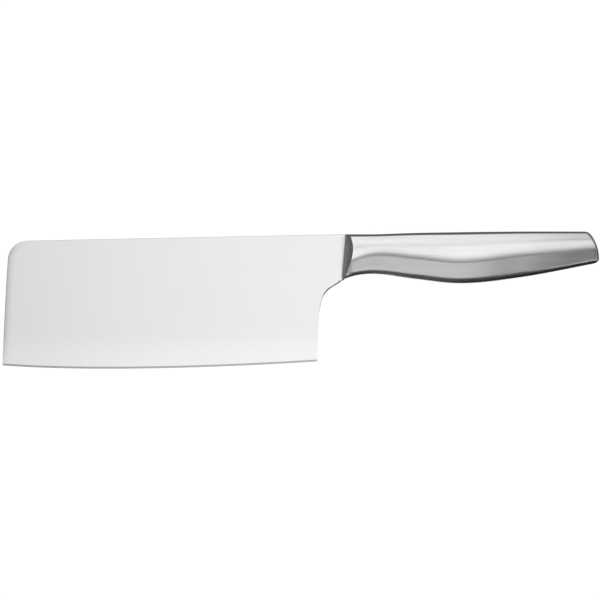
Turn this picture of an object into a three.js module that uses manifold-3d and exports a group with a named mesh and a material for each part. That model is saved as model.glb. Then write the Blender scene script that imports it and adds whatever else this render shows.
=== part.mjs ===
// A kitchen cleaver made all of steel, in millimetres. The broad ground blade ends in a stub tang, which
// two pins hold in a solid bolster. Behind it two pressed half shells make the hollow handle, and a butt cap
// that carries a balance weight closes it. The knife lies on its right side: tip towards -X, spine towards
// +Y, +Z up. Inside the group, x = 0 and y = 0 are where the spine meets the bolster, and z = 0 is the
// middle of the blade.
import * as THREE from "three";
import { mergeVertices } from "three/addons/utils/BufferGeometryUtils.js";
import Module from "manifold-3d";

const wasm = await Module();
wasm.setup();

// Blade outline
const bladeLength = 180.1; // from the bolster to the front corner of the cutting edge
const spineDrop = 3.6; // how far the spine falls on its way to the front
const tipCornerRadius = 10.4;
const frontLean = 3.2; // how far the front end runs forward between spine and edge
const frontBow = 0.25; // how far the front end bulges out of a straight line
const frontDrop = 69; // depth of the edge's front corner under the spine's rear end
const heelDrop = 66.9; // depth of the heel under the spine's rear end
const heelSetback = 14.7; // the heel lies this far ahead of the bolster
const heelStraight = 2; // upright stretch above the heel
const edgeFrontReach = 40; // the edge leaves its front corner along a line this long ...
const edgeFrontFall = 3.1; // ... that falls by this much, which gives the edge its belly
const edgeHeelReach = 60; // the same at the heel
const edgeHeelFall = 3.9;
const choilRise = 39; // upright pull of the choil's curve above the heel's straight stretch
const choilRun = 7.7; // pull of the same curve ahead of the bolster's chin ...
const choilDip = 5.8; // ... and below it

// Blade section
const bladeThickness = 2.2;
const grindHeight = 15; // height of the ground faces above the edge
const shoulderThickness = 0.5; // thickness where a ground face meets the edge bevel
const bevelHeight = 1.1; // height of the sharpened bevel
const edgeLand = 0.1; // flat left at the very edge

// Tang, bolster and pins
const tangLength = 34;
const tangThickness = 1.8;
const tangRoot = 6; // the tang's outline starts this far inside the blade
const tangCover = 2.4; // bolster metal above and below the tang
const tangEndWall = 4; // bolster metal behind the tang
const tangFit = 0.1; // clearance round the tang and at the blade's shoulders
const chinDrop = 24.6; // depth of the bolster's front under the spine
const bolsterLean = THREE.MathUtils.degToRad(4); // lean of the bolster's front towards the tip
const bolsterSlope = THREE.MathUtils.degToRad(50); // between the blade's side and the sloping front face
const bolsterHead = 5.5; // visible length of the bolster, from the spine's end to the handle shells
const pinDiameter = 4;
const pinFit = 0.1;
const pinEndDistance = 7; // from the rear pin to the tang's end
const pinSpacing = 13;
const pinRecess = 0.3; // the pins end this far under the bolster's sides

// Handle shells, butt cap and balance weight
const handleLength = 133.5; // from the spine's end to the butt
const shellWall = 1.2;
const shellFit = 0.3; // clearance of whatever sits inside the shells
const capLength = 9; // visible length of the butt cap
const capSpigot = 6; // how far the cap reaches into the shells
const buttSlant = 5.6; // the butt's top corner stays this far behind its end
const buttBulge = 6.3; // depth, under the top corner, of the point that pulls the butt into its curve
const buttLowerRound = 1.5; // rounding between the butt and the underside
const studDiameter = 7;
const studLength = 12;
const studFit = 0.2;
const weightLength = 24;

// Handle sizes at its stations: how far behind the spine's end, how high and how wide
const noseWidth = 13.2;
const collarAt = 4.5;
const collarHeight = 22.45;
const collarWidth = 13.8;
const neckAt = 14.5; // the lowest part of the handle, which sets the tang's height
const neckHeight = 21.35;
const neckWidth = 15.4;
const swellAt = 36.5;
const swellRise = 0.7; // how far the top line rises over the spine's end
const swellHeight = 24.7;
const swellWidth = 17.8;
const bellyAt = 60.5;
const bellyRise = 1.1;
const bellyHeight = 27.5;
const bellyWidth = 19.4;
const tailAt = 92.5;
const tailRise = 1.45;
const tailHeight = 24.35;
const tailWidth = 18.4;
const buttRise = 1.4;
const buttHeight = 16.35;
const buttWidth = 15.2;

// Handle form at the same stations. The section's corners are its top, its crest, the crease and its bottom.
// They lie under the top line by shares of the height, and are as wide as shares of the width.
const noseAt = -chinDrop * Math.tan(bolsterLean);
const form = [
  station(noseAt, 0, chinDrop, noseWidth, [0, 0.305, 0.68, 1], [0.6, 1, 0.885, 0.34]),
  station(collarAt, 0, collarHeight, collarWidth, [0, 0.298, 0.592, 1], [0.62, 1, 0.89, 0.35]),
  station(neckAt, 0, neckHeight, neckWidth, [0, 0.249, 0.495, 1], [0.66, 1, 0.895, 0.35]),
  station(swellAt, swellRise, swellHeight, swellWidth, [0, 0.233, 0.508, 1], [0.7, 1, 0.905, 0.33]),
  station(bellyAt, bellyRise, bellyHeight, bellyWidth, [0, 0.223, 0.549, 1], [0.711, 1, 0.9, 0.32]),
  station(tailAt, tailRise, tailHeight, tailWidth, [0, 0.207, 0.513, 1], [0.707, 1, 0.9, 0.29]),
  station(handleLength, buttRise, buttHeight, buttWidth, [0, 0.232, 0.55, 1], [0.711, 1, 0.895, 0.38]),
];

// Roundings of the section's corners, as the shares that each takes of the faces before and after it
const topRounding = [0.48, 0.24];
const crestRounding = [0.48, 0.48];
const creaseRounding = [0.4, 0.14];
const noseBottomRounding = [0.42, 0.48]; // the bottom corner gets crisper on its way ...
const buttBottomRounding = [0.26, 0.48]; // ... to the butt

// Fineness of the meshes
const outerSteps = 4; // steps in each rounding of an outer face
const innerSteps = 2; // and of a face inside the handle
const shellSteps = 30;
const spigotSteps = 12; // along the bolster's spigot
const shortSteps = 4; // along a short length of handle
const edgeSteps = 18;
const outlineSteps = 10;
const roundSides = 24;
const mergeDistance = 1e-4;
const overlap = 1; // how far joined solids reach into each other
const margin = 5; // how far cutters reach past what they cut
const cutterSize = 100;

// A closed geometry as a solid that can be cut and joined, and back again
function solidOf(geometry) {
  const bare = new THREE.BufferGeometry();
  bare.setAttribute("position", geometry.attributes.position);
  bare.setIndex(geometry.index);
  const merged = mergeVertices(bare, mergeDistance);
  return new wasm.Manifold(
    new wasm.Mesh({
      numProp: 3,
      vertProperties: new Float32Array(merged.attributes.position.array),
      triVerts: new Uint32Array(merged.index.array),
    }),
  );
}

function geometryOf(solid) {
  const { vertProperties, triVerts } = solid.getMesh();
  const geometry = new THREE.BufferGeometry();
  geometry.setAttribute("position", new THREE.Float32BufferAttribute(vertProperties, 3));
  geometry.setIndex([...triVerts]);
  geometry.computeVertexNormals();
  return geometry;
}

// A closed skin through rings of equal length, each turning from +Y over +Z to -Y, with both ends filled
function loft(rings) {
  const count = rings[0].length;
  const lastStart = (rings.length - 1) * count;
  const faces = [];
  for (let start = 0; start < lastStart; start += count) {
    for (let i = 0; i < count; i += 1) {
      const a = start + i;
      const b = start + ((i + 1) % count);
      faces.push(a, b, a + count, b, b + count, a + count);
    }
  }
  const fill = (ring) =>
    THREE.ShapeUtils.triangulateShape(
      ring.map((p) => new THREE.Vector2(-p.z, p.y)),
      [],
    );
  for (const [a, b, c] of fill(rings[0])) {
    faces.push(c, b, a);
  }
  for (const [a, b, c] of fill(rings.at(-1))) {
    faces.push(lastStart + a, lastStart + b, lastStart + c);
  }
  const geometry = new THREE.BufferGeometry().setFromPoints(rings.flat());
  geometry.setIndex(faces);
  geometry.computeVertexNormals();
  return geometry;
}

// A box or a round bar between two values along an axis
function boxBetween(low, high) {
  const size = high.clone().sub(low);
  const middle = low.clone().add(high).multiplyScalar(0.5);
  return new THREE.BoxGeometry(...size).translate(...middle);
}

function crossBar(x, y, diameter, halfLength) {
  const bar = new THREE.CylinderGeometry(diameter / 2, diameter / 2, 2 * halfLength, roundSides);
  return bar.rotateX(Math.PI / 2).translate(x, y, 0);
}

function lengthwiseBar(from, to, y, diameter) {
  const bar = new THREE.CylinderGeometry(diameter / 2, diameter / 2, to - from, roundSides);
  return bar.rotateZ(Math.PI / 2).translate((from + to) / 2, y, 0);
}

const steps = (from, to, spans) =>
  Array.from({ length: spans + 1 }, (_, i) => THREE.MathUtils.lerp(from, to, i / spans));

// The corners of the handle's left half, as height and half width: first at a station, then at any x, on
// smooth curves through the stations
function station(at, rise, height, width, depths, widths) {
  const corners = depths.map((depth, i) => [rise - depth * height, (widths[i] * width) / 2]);
  return { at, corners };
}

const cornerCurves = new THREE.CubicInterpolant(
  form.map(({ at }) => at),
  form.flatMap(({ corners }) => corners.flat()),
  form[0].corners.flat().length,
);

function cornersAt(x) {
  const values = cornerCurves.evaluate(x);
  return form[0].corners.map((_, i) => new THREE.Vector2().fromArray(values, 2 * i));
}

const topLine = (x) => cornersAt(x)[0].x;
const bottomLine = (x) => cornersAt(x).at(-1).x;

// The same corners moved inwards by inset, between the mirror images of the first and the last
function sectionCorners(x, inset) {
  const corners = cornersAt(x);
  const mirrored = (corner) => new THREE.Vector2(corner.x, -corner.y);
  const ring = [mirrored(corners[0]), ...corners, mirrored(corners.at(-1))];
  const inward = (from, to) => {
    const along = to.clone().sub(from).normalize();
    return new THREE.Vector2(-along.y, along.x);
  };
  const moved = corners.map((corner, i) => {
    const before = inward(ring[i], corner);
    const after = inward(corner, ring[i + 2]);
    const scale = inset / (1 + before.dot(after));
    return corner.clone().addScaledVector(before.add(after), scale);
  });
  return [mirrored(moved[0]), ...moved, mirrored(moved.at(-1))];
}

// The same half as points from the top to the underside, with its corners rounded
function halfSection(x, inset, roundSteps) {
  const ring = sectionCorners(x, inset);
  const way = THREE.MathUtils.clamp(x / handleLength, 0, 1);
  const bottomRounding = noseBottomRounding.map((share, i) =>
    THREE.MathUtils.lerp(share, buttBottomRounding[i], way),
  );
  const path = new THREE.Path();
  path.moveTo(ring[0].x, 0);
  [topRounding, crestRounding, creaseRounding, bottomRounding].forEach(([before, after], i) => {
    const corner = ring[i + 1];
    const start = corner.clone().lerp(ring[i], before);
    const stop = corner.clone().lerp(ring[i + 2], after);
    path.lineTo(start.x, start.y);
    path.quadraticCurveTo(corner.x, corner.y, stop.x, stop.y);
  });
  path.lineTo(ring.at(-1).x, 0);
  return path.getPoints(roundSteps).map((p) => new THREE.Vector3(x, p.x, p.y));
}

// A solid length of handle, smaller than the outside by inset all round
function handleBar(from, to, inset, spans, roundSteps) {
  return loft(
    steps(from, to, spans).map((x) => {
      const left = halfSection(x, inset, roundSteps);
      const right = left.slice(1, -1).map((p) => new THREE.Vector3(p.x, p.y, -p.z));
      return [...left, ...right.reverse()];
    }),
  );
}

// Half the width that such a length has at a point of its side
function halfWidth(x, y, inset) {
  const half = halfSection(x, inset, innerSteps);
  const after = half.findIndex((p) => p.y < y);
  const [a, b] = [half[after - 1], half[after]];
  return THREE.MathUtils.mapLinear(y, a.y, b.y, a.z, b.z);
}

// Places that the pieces share
const insideFit = shellWall + shellFit;
const tangTop = topLine(neckAt) - insideFit - tangCover;
const tangBottom = bottomLine(neckAt) + insideFit + tangCover;
const pinHeight = (tangTop + tangBottom) / 2;
const rearPinAt = tangLength - pinEndDistance;
const frontPinAt = rearPinAt - pinSpacing;
const capSeam = handleLength - capLength;
const capFront = capSeam - capSpigot;
const studEnd = capFront - studLength;
const studHeight = (topLine(capFront) + bottomLine(capFront)) / 2;
const weightRear = capFront - shellFit;
const pinHole = (x) => solidOf(crossBar(x, pinHeight, pinDiameter + 2 * pinFit, cutterSize));

// Blade: a plate with the section of the grind along the edge's curve, trimmed to the outline, and its tang
function bladePlate() {
  const frontFoot = new THREE.Vector2(-bladeLength, -frontDrop);
  const heel = new THREE.Vector2(-heelSetback, -heelDrop);
  const edge = new THREE.CubicBezierCurve(
    frontFoot,
    frontFoot.clone().add(new THREE.Vector2(edgeFrontReach, -edgeFrontFall)),
    heel.clone().add(new THREE.Vector2(-edgeHeelReach, -edgeHeelFall)),
    heel,
  );
  const along = edge.getPoints(edgeSteps);
  along.unshift(new THREE.Vector2(frontFoot.x - margin, frontFoot.y));
  along.push(new THREE.Vector2(margin, heel.y));
  return loft(
    along.map(({ x, y }) => {
      const left = [
        new THREE.Vector3(x, margin, bladeThickness / 2),
        new THREE.Vector3(x, y + grindHeight, bladeThickness / 2),
        new THREE.Vector3(x, y + bevelHeight, shoulderThickness / 2),
        new THREE.Vector3(x, y, edgeLand / 2),
      ];
      const right = left.map((p) => new THREE.Vector3(p.x, p.y, -p.z));
      return [...left, ...right.reverse()];
    }),
  );
}

function bladeOutline() {
  const corner = new THREE.Vector2(frontLean - bladeLength, -spineDrop);
  const frontFoot = new THREE.Vector2(-bladeLength, -frontDrop);
  const below = -frontDrop - cutterSize;
  const toSpine = corner.clone().negate().normalize();
  const toFoot = frontFoot.clone().sub(corner).normalize();
  const halfAngle = Math.acos(toSpine.dot(toFoot)) / 2;
  const centre = toSpine.clone().add(toFoot).setLength(tipCornerRadius / Math.sin(halfAngle)).add(corner);
  const arcFrom = Math.atan2(toSpine.x, -toSpine.y);
  const arcTo = Math.atan2(-toFoot.x, toFoot.y);
  const outline = new THREE.Shape();
  outline.moveTo(noseAt, -chinDrop);
  outline.lineTo(0, 0);
  outline.absarc(centre.x, centre.y, tipCornerRadius, arcFrom, arcTo, false);
  const bow = outline.currentPoint.clone().add(frontFoot).multiplyScalar(0.5);
  outline.quadraticCurveTo(bow.x - 2 * frontBow, bow.y, frontFoot.x, frontFoot.y);
  outline.lineTo(frontFoot.x, below);
  outline.lineTo(-heelSetback, below);
  outline.lineTo(-heelSetback, heelStraight - heelDrop);
  outline.bezierCurveTo(
    -heelSetback,
    heelStraight + choilRise - heelDrop,
    noseAt - choilRun,
    -chinDrop - choilDip,
    noseAt,
    -chinDrop,
  );
  const depth = 2 * margin;
  const settings = { depth, bevelEnabled: false, curveSegments: outlineSteps };
  return new THREE.ExtrudeGeometry(outline, settings).translate(0, 0, -depth / 2);
}

function bladeGeometry() {
  const tang = boxBetween(
    new THREE.Vector3(-tangRoot, tangBottom, -tangThickness / 2),
    new THREE.Vector3(tangLength, tangTop, tangThickness / 2),
  );
  const blade = solidOf(bladePlate()).intersect(solidOf(bladeOutline())).add(solidOf(tang));
  return geometryOf(blade.subtract(pinHole(frontPinAt)).subtract(pinHole(rearPinAt)));
}

// Bolster: a head with two sloping front faces and a spigot in the shells, slotted for the tang
function bolsterFront() {
  const reach = tangFit + (cutterSize - bladeThickness / 2) / Math.tan(bolsterSlope);
  const shape = new THREE.Shape();
  shape.moveTo(-cutterSize, -cutterSize);
  shape.lineTo(reach, -cutterSize);
  shape.lineTo(tangFit, -bladeThickness / 2);
  shape.lineTo(tangFit, bladeThickness / 2);
  shape.lineTo(reach, cutterSize);
  shape.lineTo(-cutterSize, cutterSize);
  const cutter = new THREE.ExtrudeGeometry(shape, { depth: 2 * cutterSize, bevelEnabled: false });
  return cutter.translate(0, 0, -cutterSize).rotateX(Math.PI / 2).rotateZ(-bolsterLean);
}

function bolsterGeometry() {
  const spigotEnd = tangLength + tangEndWall;
  const head = solidOf(handleBar(noseAt, bolsterHead, 0, shortSteps, outerSteps));
  const spigot = solidOf(handleBar(bolsterHead - overlap, spigotEnd, insideFit, spigotSteps, innerSteps));
  const slot = boxBetween(
    new THREE.Vector3(-cutterSize, tangBottom - tangFit, -tangThickness / 2 - tangFit),
    new THREE.Vector3(tangLength + tangFit, tangTop + tangFit, tangThickness / 2 + tangFit),
  );
  const bolster = head.add(spigot).subtract(solidOf(bolsterFront())).subtract(solidOf(slot));
  return geometryOf(bolster.subtract(pinHole(frontPinAt)).subtract(pinHole(rearPinAt)));
}

// Pins: they end just under the bolster's sides
function pinGeometry(at) {
  const radius = pinDiameter / 2;
  const widths = [at - radius, at + radius].flatMap((x) =>
    [pinHeight - radius, pinHeight + radius].map((y) => halfWidth(x, y, insideFit)),
  );
  return crossBar(at, pinHeight, pinDiameter, Math.min(...widths) - pinRecess);
}

// Handle shells: each ring runs down the outside and back up the inside of one half
function shellGeometry() {
  return loft(
    steps(bolsterHead, capSeam, shellSteps).map((x) => [
      ...halfSection(x, 0, outerSteps),
      ...halfSection(x, shellWall, innerSteps).reverse(),
    ]),
  );
}

// Butt cap: the handle's end, trimmed to the curve of the butt, with a spigot and the weight's stud
function buttOutline() {
  const top = topLine(handleLength);
  const bottom = bottomLine(handleLength);
  const lowerRoundFrom = handleLength - buttLowerRound;
  const outline = new THREE.Shape();
  outline.moveTo(capSeam - margin, top + margin);
  outline.lineTo(handleLength - buttSlant, top + margin);
  outline.lineTo(handleLength - buttSlant, top);
  outline.quadraticCurveTo(handleLength, top - buttBulge, handleLength, bottom + buttLowerRound);
  outline.quadraticCurveTo(handleLength, bottom, lowerRoundFrom, bottomLine(lowerRoundFrom));
  outline.lineTo(lowerRoundFrom, bottom - margin);
  outline.lineTo(capSeam - margin, bottom - margin);
  const settings = { depth: 2 * cutterSize, bevelEnabled: false, curveSegments: outlineSteps };
  return new THREE.ExtrudeGeometry(outline, settings).translate(0, 0, -cutterSize);
}

function capGeometry() {
  const head = solidOf(handleBar(capSeam, handleLength + margin, 0, shortSteps, outerSteps));
  const spigot = solidOf(handleBar(capFront, capSeam + overlap, insideFit, shortSteps, innerSteps));
  const stud = solidOf(lengthwiseBar(studEnd, capFront + overlap, studHeight, studDiameter));
  return geometryOf(head.intersect(solidOf(buttOutline())).add(spigot).add(stud));
}

// Balance weight: a slug that fills the handle's rear and is bored for the stud
function weightGeometry() {
  const slug = solidOf(handleBar(weightRear - weightLength, weightRear, insideFit, shortSteps, innerSteps));
  const bore = lengthwiseBar(studEnd - studFit, weightRear + margin, studHeight, studDiameter + 2 * studFit);
  return geometryOf(slug.subtract(solidOf(bore)));
}

// Finishes
const steel = (color, roughness) => new THREE.MeshStandardMaterial({ color, roughness, metalness: 1 });
const bladeSteel = steel(0xf3f3f4, 0.3);
const handleSteel = steel(0xf2f2f3, 0.32);
const bolsterSteel = steel(0xe8e8e9, 0.38);
const pinSteel = steel(0xa8aaac, 0.3);
const weightSteel = steel(0x6f7072, 0.6);

// The knife, with its origin under the middle of its box
const shell = shellGeometry();
const pieces = [
  ["blade", bladeGeometry(), bladeSteel],
  ["bolster", bolsterGeometry(), bolsterSteel],
  ["tang_pin_front", pinGeometry(frontPinAt), pinSteel],
  ["tang_pin_rear", pinGeometry(rearPinAt), pinSteel],
  ["handle_shell_left", shell, handleSteel],
  ["handle_shell_right", shell, handleSteel],
  ["butt_cap", capGeometry(), handleSteel],
  ["balance_weight", weightGeometry(), weightSteel],
];
const knife = new THREE.Group();
for (const [name, geometry, material] of pieces) {
  const mesh = new THREE.Mesh(geometry, material);
  mesh.name = name;
  knife.add(mesh);
}
knife.getObjectByName("handle_shell_right").scale.z = -1;

const box = new THREE.Box3().setFromObject(knife);
const middle = box.getCenter(new THREE.Vector3());
knife.position.set(-middle.x, -middle.y, -box.min.z);

const cleaver = new THREE.Group();
cleaver.add(knife);
export default cleaver;
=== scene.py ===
# %% [markdown]
# # An all-steel kitchen cleaver
#
# This lesson dresses the plain CAD model of a cleaver for a studio picture. The CAD model gives the frame,
# the pieces and the sizes. Here the same shapes are drawn again with many more points, so that bright metal
# reflects smoothly, and with the small roundings that a knife gets on the polishing wheel.

# %% Load the CAD model
import bisect
import math

import bmesh
import bpy
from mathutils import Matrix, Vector


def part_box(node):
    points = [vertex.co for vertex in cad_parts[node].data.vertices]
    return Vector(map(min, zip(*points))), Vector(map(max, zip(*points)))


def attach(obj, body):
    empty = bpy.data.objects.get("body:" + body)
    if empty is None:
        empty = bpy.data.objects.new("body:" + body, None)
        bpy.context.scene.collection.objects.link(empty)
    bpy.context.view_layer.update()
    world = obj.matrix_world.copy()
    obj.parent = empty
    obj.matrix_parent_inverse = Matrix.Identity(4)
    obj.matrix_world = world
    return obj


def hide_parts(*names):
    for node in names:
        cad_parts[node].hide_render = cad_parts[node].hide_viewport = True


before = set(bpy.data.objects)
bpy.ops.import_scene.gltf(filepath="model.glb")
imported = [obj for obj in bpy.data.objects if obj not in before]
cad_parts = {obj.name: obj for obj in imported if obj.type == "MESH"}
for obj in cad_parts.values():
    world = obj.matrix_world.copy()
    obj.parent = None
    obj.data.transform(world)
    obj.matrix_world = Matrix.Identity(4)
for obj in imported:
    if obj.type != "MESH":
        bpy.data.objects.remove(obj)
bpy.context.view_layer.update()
print("CAD nodes:", ", ".join(sorted(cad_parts)))

# %% [markdown]
# ## Where the knife lies
#
# The knife lies on its right side, tip towards -X, spine towards +Y. It is drawn in the maker's own
# coordinates: millimetres from the point where the spine meets the bolster, with z = 0 in the middle of the
# blade. The boxes of two CAD nodes give that point in the scene, so nothing is fitted by eye.

# %% The maker's zero point
bolster_head = 5.5  # visible length of the bolster, up to the seam with the handle shells
shell_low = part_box("handle_shell_left")[0]
zero = Vector((shell_low.x - bolster_head / 1000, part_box("blade")[1].y, shell_low.z))


def place(x, y, z):
    """A point in the maker's millimetres as a point of the scene in metres."""
    return zero + Vector((x, y, z)) / 1000


print("zero point in mm:", [round(1000 * value, 3) for value in zero])

# %% [markdown]
# ## Turning rows of points into a mesh
#
# Nearly every piece is a skin: rows of points with faces between them, as a boat's skin lies on its ribs. A
# subdivision surface could do it too, but it only comes near its cage, and these rows lie exactly where
# they are drawn. Points that fall together are merged, which closes the skin. Sharp edges stay crisp, and a
# Weighted Normal modifier lets the large faces decide the shading, so that flat faces beside a small
# rounding still reflect like a flat mirror.

# %% Skins
def skin(mesh, rows, closed=False):
    """Adds rows of scene points to a mesh in the making, with faces between them."""
    verts = [[mesh.verts.new(point) for point in row] for row in rows]
    for row, following in zip(verts, verts[1:]):
        pairs = list(zip(row, following))
        if closed:
            pairs.append(pairs[0])
        for (a, b), (c, d) in zip(pairs, pairs[1:]):
            mesh.faces.new((a, c, d, b))
    return verts


def both_sides(mesh, lines):
    """Skins over lines of the maker's points, on the left and mirrored on the right."""
    return [skin(mesh, [[place(x, y, side * z) for x, y, z in line] for line in lines]) for side in (1, -1)]


def solid_bar(mesh, rows):
    """A tube over closed rows, with a lid on each end."""
    verts = skin(mesh, rows, closed=True)
    mesh.faces.new(verts[0])
    mesh.faces.new(verts[-1])


# %% Pieces
merge_distance = 1e-7  # in metres


def finish_piece(mesh, name, node, crisp=35):
    """Makes an object of a finished mesh, in place of a CAD node. Edges over crisp degrees stay sharp."""
    bmesh.ops.remove_doubles(mesh, verts=mesh.verts, dist=merge_distance)
    bmesh.ops.dissolve_degenerate(mesh, edges=mesh.edges, dist=merge_distance)
    bmesh.ops.recalc_face_normals(mesh, faces=mesh.faces)
    data = bpy.data.meshes.new(name)
    mesh.to_mesh(data)
    mesh.free()
    data.shade_smooth()
    data.set_sharp_from_angle(angle=math.radians(crisp))
    piece = bpy.data.objects.new(name, data)
    bpy.context.scene.collection.objects.link(piece)
    normals = piece.modifiers.new("flat faces lead the shading", "WEIGHTED_NORMAL")
    normals.keep_sharp = True
    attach(piece, "root")
    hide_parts(node)
    print(f"{name}: {len(data.vertices)} points, {len(data.polygons)} faces")
    return piece


# %% Steps between values
def lerp(a, b, share):
    return a + (b - a) * share


def limited(value, low=0, high=1):
    """Keeps a value between two limits."""
    return min(max(value, low), high)


def eased(share):
    """A share that starts and stops gently."""
    return share * share * (3 - 2 * share)


def spread(a, b, count):
    """Evenly spread values from a to b, in count steps."""
    return [lerp(a, b, i / count) for i in range(count + 1)]


def bend(start, corner, stop, steps):
    """A corner rounded as a curve from start to stop."""
    return [lerp(lerp(start, corner, t), lerp(corner, stop, t), t) for t in spread(0, 1, steps)]


def read_off(keys, results, key):
    """Reads a result off a line with bends, which goes on straight past its ends."""
    i = limited(bisect.bisect_right(keys, key), 1, len(keys) - 1)
    return lerp(results[i - 1], results[i], (key - keys[i - 1]) / (keys[i] - keys[i - 1]))


# %% [markdown]
# ## The handle's form
#
# The handle is one flowing form: a narrow neck, a swelling belly and a slim butt. Its cross-section has
# four corners on each side: the rounded top, a soft crest, the crease that runs down the side in an S, and
# the bottom. It could be sculpted, but then its sizes would be anyone's guess. Here it is given at a few
# stations, like the moulds in a boat yard, with smooth curves between them. The same numbers drive the CAD
# model, so the dressed handle lies on the plain one. Only its crease is a little crisper at the neck.

# %% Stations of the handle
handle_length = 133.5
chin_drop = 24.6  # depth of the bolster's front
bolster_lean = math.radians(4)  # lean of the bolster's front towards the tip
nose_at = -chin_drop * math.tan(bolster_lean)
neck_at, belly_at = 14.5, 60.5
# place, rise of the top, height, width, then shares of the height for crest and crease,
# and shares of the width for top, crease and bottom
stations = [
    (nose_at, 0, chin_drop, 13.2, 0.305, 0.68, 0.6, 0.885, 0.34),
    (4.5, 0, 22.45, 13.8, 0.298, 0.592, 0.62, 0.89, 0.35),
    (neck_at, 0, 21.35, 15.4, 0.249, 0.495, 0.66, 0.895, 0.35),
    (36.5, 0.7, 24.7, 17.8, 0.233, 0.508, 0.7, 0.905, 0.33),
    (belly_at, 1.1, 27.5, 19.4, 0.223, 0.549, 0.711, 0.9, 0.32),
    (92.5, 1.45, 24.35, 18.4, 0.207, 0.513, 0.707, 0.9, 0.29),
    (handle_length, 1.4, 16.35, 15.2, 0.232, 0.55, 0.711, 0.895, 0.38),
]
station_places = [station[0] for station in stations]
station_corners = [
    [
        Vector((rise, width * top / 2)),
        Vector((rise - crest * height, width / 2)),
        Vector((rise - crease * height, width * low / 2)),
        Vector((rise - height, width * bottom / 2)),
    ]
    for _, rise, height, width, crest, crease, top, low, bottom in stations
]
print("stations of the handle at", [round(at, 2) for at in station_places], "mm")


# %% Curves from station to station
def station_slope(i, corner):
    """Slope of a corner's curve at a station: the mean of the slopes to both neighbours."""
    spans = [(j, j + 1) for j in (i - 1, i) if 0 <= j < len(stations) - 1]
    found = [
        (station_corners[b][corner] - station_corners[a][corner]) / (station_places[b] - station_places[a])
        for a, b in spans
    ]
    return sum(found, Vector((0, 0))) / len(found)


slopes = [[station_slope(i, corner) for corner in range(4)] for i in range(len(stations))]


def corners_at(x):
    """Height and half width of the section's four corners at x."""
    x = limited(x, station_places[0], station_places[-1])
    b = min(bisect.bisect_right(station_places, x), len(stations) - 1)
    a = b - 1
    span = station_places[b] - station_places[a]
    t = (x - station_places[a]) / span
    rise = eased(t)
    return [
        station_corners[a][i] * (1 - rise)
        + station_corners[b][i] * rise
        + slopes[a][i] * span * t * (1 - t) ** 2
        - slopes[b][i] * span * t * t * (1 - t)
        for i in range(4)
    ]


print("belly corners in mm:", [tuple(round(v, 2) for v in corner) for corner in corners_at(belly_at)])

# %% [markdown]
# ## One cross-section
#
# Each corner is rounded, over a share of the face before it and of the face after it. The back is crowned
# and turns sharply into the flank, the flank bends slowly from the crest to the crease, and the crease
# turns crisply into the lower face. A Bevel modifier could round the corners too, but with one width all
# along. For walls and spigots, every face moves inwards before the corners are rounded. The outside is a
# hair smaller than the CAD model, by what the polishing wheel takes off.

# %% Corners of a section
polish = 0.01
# each rounding takes these shares of the faces before and after its corner
top_round, crest_round, crease_round, bottom_round = (0.48, 0.24), (0.48, 0.48), (0.4, 0.14), (0.42, 0.48)
butt_bottom_round = 0.26  # the bottom corner gets crisper towards the butt
neck_crease_round = 0.22  # and the crease gets crisper towards the neck
neck_end = 50


def roundings_at(x):
    """Shares of the roundings at top, crest, crease and bottom."""
    crease = lerp(neck_crease_round, crease_round[0], limited(x / neck_end))
    bottom = lerp(bottom_round[0], butt_bottom_round, limited(x / handle_length))
    return [top_round, crest_round, (crease, crease_round[1]), (bottom, bottom_round[1])]


def mirrored(corner):
    return Vector((corner[0], -corner[1]))


def moved_in(before, corner, after, inset):
    """A corner of the section, moved so that both its faces go inwards by inset."""
    first = (corner - before).normalized()
    second = (after - corner).normalized()
    inward = [Vector((-side.y, side.x)) for side in (first, second)]
    return corner + (inward[0] + inward[1]) * inset / (1 + inward[0].dot(inward[1]))


# %% Half a section, from the top to the underside
def half_section(x, inset=polish, round_steps=14, flat_steps=4):
    """Points (height, half width) of the left half of the handle at x."""
    corners = corners_at(x)
    ring = [mirrored(corners[0]), *corners, mirrored(corners[3])]
    moved = [moved_in(*ring[i : i + 3], inset) for i in range(4)]
    ring = [mirrored(moved[0]), *moved, mirrored(moved[3])]
    points = [Vector((ring[0].x, 0))]
    for i, (share_before, share_after) in enumerate(roundings_at(x)):
        before, corner, after = ring[i : i + 3]
        ends = [lerp(corner, before, share_before), lerp(corner, after, share_after)]
        points += [lerp(points[-1], ends[0], share) for share in spread(0, 1, flat_steps)[1:-1]]
        points += bend(ends[0], corner, ends[1], round_steps)
    last = Vector((ring[-1].x, 0))
    points += [lerp(points[-1], last, share) for share in spread(0, 1, flat_steps)[1:]]
    return points


def ring_at(x, inset=polish, side=1, **steps):
    """Half a section as scene points on the left (side 1) or the right (side -1)."""
    return [place(x, y, side * z) for y, z in half_section(x, inset, **steps)]


line_count = len(half_section(belly_at))
print("points in half a section:", line_count)

# %% [markdown]
# ## The two handle shells
#
# The real handle is hollow: two pressed halves of sheet steel, welded along the back and the belly and
# ground until the weld is gone. A Solidify modifier could thicken a single skin. Here the rows run down the
# outside and up the inside, so that the sheet has the CAD model's wall everywhere. The welds at bolster and
# cap are ground flush too, so no seam shows.

# %% Pressed half shells
cap_length = 9  # visible length of the butt cap
cap_seam = handle_length - cap_length
shell_wall = 1.2
shell_steps = 200


def shell(side):
    mesh = bmesh.new()
    places = spread(bolster_head, cap_seam, shell_steps)
    rows = [ring_at(x, polish, side) + ring_at(x, shell_wall, side)[::-1] for x in places]
    verts = skin(mesh, rows, closed=True)
    for row in (verts[0], verts[-1]):
        for i in range(line_count - 1):
            mesh.faces.new((row[i], row[i + 1], row[-2 - i], row[-1 - i]))
    name = "left" if side > 0 else "right"
    return finish_piece(mesh, f"pressed_shell_{name}", f"handle_shell_{name}")


shells = [shell(1), shell(-1)]

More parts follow.
